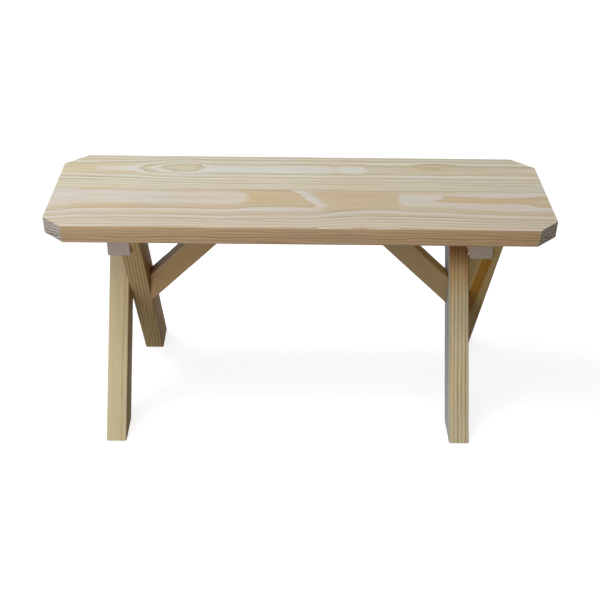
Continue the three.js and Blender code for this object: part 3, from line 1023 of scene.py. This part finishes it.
class BENCH_OT_stage(bpy.types.Operator):
    """Sets the floor, the sky, the lamp and the camera."""

    bl_idname = "bench.stage"
    bl_label = "Stage"

    def execute(self, context):
        studio = settings("bench_studio")
        scene = context.scene
        scene.view_settings.view_transform = "Standard"

        camera = bpy.data.objects.new("Camera", bpy.data.cameras.new("Camera"))
        scene.collection.objects.link(camera)
        scene.camera = camera
        camera.data.lens = studio.lens
        camera.data.sensor_width = 36.0
        camera.data.sensor_fit = "HORIZONTAL"
        camera.data.clip_end = 100.0
        yaw, pitch, roll = studio.yaw, studio.pitch, studio.roll
        ahead = Vector((math.sin(yaw) * math.cos(pitch), math.cos(yaw) * math.cos(pitch),
                        -math.sin(pitch)))
        right = Vector((math.cos(yaw), -math.sin(yaw), 0))
        above = right.cross(ahead)
        right, above = (math.cos(roll) * right + math.sin(roll) * above,
                        math.cos(roll) * above - math.sin(roll) * right)
        turn = Matrix((right, above, -ahead)).transposed().to_4x4()
        camera.matrix_world = Matrix.Translation(studio.eye) @ turn

        for name, power, side, place, colour in (
                ("Soft lamp", studio.lamp_power, studio.lamp_side, LAMP_PLACE, "FBFDFF"),
                ("Fill lamp", studio.fill_power, studio.fill_side, FILL_PLACE, "E6EFFF")):
            lamp = bpy.data.objects.new(name, bpy.data.lights.new(name, "AREA"))
            scene.collection.objects.link(lamp)
            lamp.data.energy = power
            lamp.data.size = side
            lamp.data.color = linear(colour)
            lamp.location = place
            ahead = Vector(LAMPS_AIM) - lamp.location
            lamp.rotation_euler = ahead.to_track_quat("-Z", "Y").to_euler()

        scene.world = self.sky(studio)
        half = FLOOR_HALF
        corners = ((-half, -half), (half, -half), (half, half), (-half, half))
        floor = skin("floor", [[(x, y, z) for x, y in corners] for z in FLOOR_HEIGHTS])
        floor.data.materials.append(self.matt_floor(studio))
        return {"FINISHED"}

    @staticmethod
    def open_rays(tree):
        """The rays that meet plain white: the camera's, and those off metal or through glass."""
        path = add(tree, "LightPath")
        rays = path.outputs["Is Camera Ray"]
        for kind in ("Is Glossy Ray", "Is Transmission Ray"):
            rays = add(tree, "Math", {0: rays, 1: path.outputs[kind]}, "MAXIMUM")
        return rays

    def sky(self, studio):
        """An overcast sky: brighter in front, low down and to the left, cooler to the left and warmer
        to the right, white to the camera.
        """
        world = bpy.data.worlds.new("Sky")
        tree = emptied(world)
        texture = add(tree, "TexCoord")
        axes = add(tree, "SeparateXYZ", {0: texture.outputs["Generated"]}).outputs
        across = add(tree, "MapRange", {0: axes[0], 1: -0.8, 2: 0.8})
        colour = add(tree, "Mix", {0: across, 6: (*linear("E2EDFF"), 1),
                                   7: (*linear("F4E4D0"), 1)}, data_type="RGBA")
        side = add(tree, "MapRange", {0: axes[0], 1: -1.0, 2: 1.0, 3: 1.35, 4: 0.15})
        front = add(tree, "MapRange", {0: axes[1], 1: -1.0, 2: 0.0, 3: 2.3, 4: 0.3})
        low = add(tree, "MapRange", {0: axes[2], 1: 0.0, 2: 0.6, 3: 1.9, 4: 0.6})
        for share in (front, low, studio.sky):
            side = add(tree, "Math", {0: side, 1: share}, "MULTIPLY")
        lit = add(tree, "Background", {0: colour, 1: side})
        seen = add(tree, "Background", {0: (1, 1, 1, 1), 1: 1.0})
        both = add(tree, "MixShader", {0: self.open_rays(tree), 1: lit, 2: seen})
        add(tree, "OutputWorld", {0: both})
        return world

    def matt_floor(self, studio):
        """Matt painted boards: white to the camera with a faint shadow, grey in what they bounce."""
        material = bpy.data.materials.new("Matt white floor")
        tree = emptied(material)
        grey = add(tree, "BsdfDiffuse", {0: (*studio.bounce, 1)})
        pale = add(tree, "BsdfDiffuse", {0: (*linear("B8B8B8"), 1)})
        glow = add(tree, "Emission", {0: (1, 1, 1, 1), 1: 0.84})
        white = add(tree, "AddShader", {0: pale, 1: glow})
        both = add(tree, "MixShader", {0: self.open_rays(tree), 1: grey, 2: white})
        add(tree, "OutputMaterial", {0: both})
        return material


class BENCH_PT_panel(bpy.types.Panel):
    """Lists what the bench is made of, with its sizes and colours."""

    bl_idname = "BENCH_PT_panel"
    bl_label = "Pine bench"
    bl_space_type = "VIEW_3D"
    bl_region_type = "UI"
    bl_category = "Bench"

    def draw(self, context):
        for name in ("bench_sizes", "bench_colours", "bench_studio"):
            group = getattr(context.scene, name)
            column = self.layout.column()
            for key in group.bl_rna.properties.keys():
                if key not in ("rna_type", "name"):
                    column.prop(group, key)
        for operator in OPERATORS:
            self.layout.operator(operator.bl_idname)


OPERATORS = (BENCH_OT_stage, BENCH_OT_seat_boards, BENCH_OT_legs, BENCH_OT_cleats,
             BENCH_OT_braces, BENCH_OT_screws, BENCH_OT_loose_fibres)
GROUPS = {"bench_sizes": BenchSizes, "bench_colours": BenchColours, "bench_studio": StudioSettings}


def register():
    """Makes the classes known, and gives each scene its settings."""
    for known in (*GROUPS.values(), *OPERATORS, BENCH_PT_panel):
        bpy.utils.register_class(known)
    for name, group in GROUPS.items():
        setattr(bpy.types.Scene, name, bpy.props.PointerProperty(type=group))


def unregister():
    """Undoes register."""
    for name in GROUPS:
        delattr(bpy.types.Scene, name)
    for known in (BENCH_PT_panel, *reversed(OPERATORS), *reversed(GROUPS.values())):
        bpy.utils.unregister_class(known)


def main():
    """Builds the stage and every piece."""
    register()
    for operator in OPERATORS:
        group, name = operator.bl_idname.split(".")
        getattr(getattr(bpy.ops, group), name)()


if __name__ == "__main__":
    main()
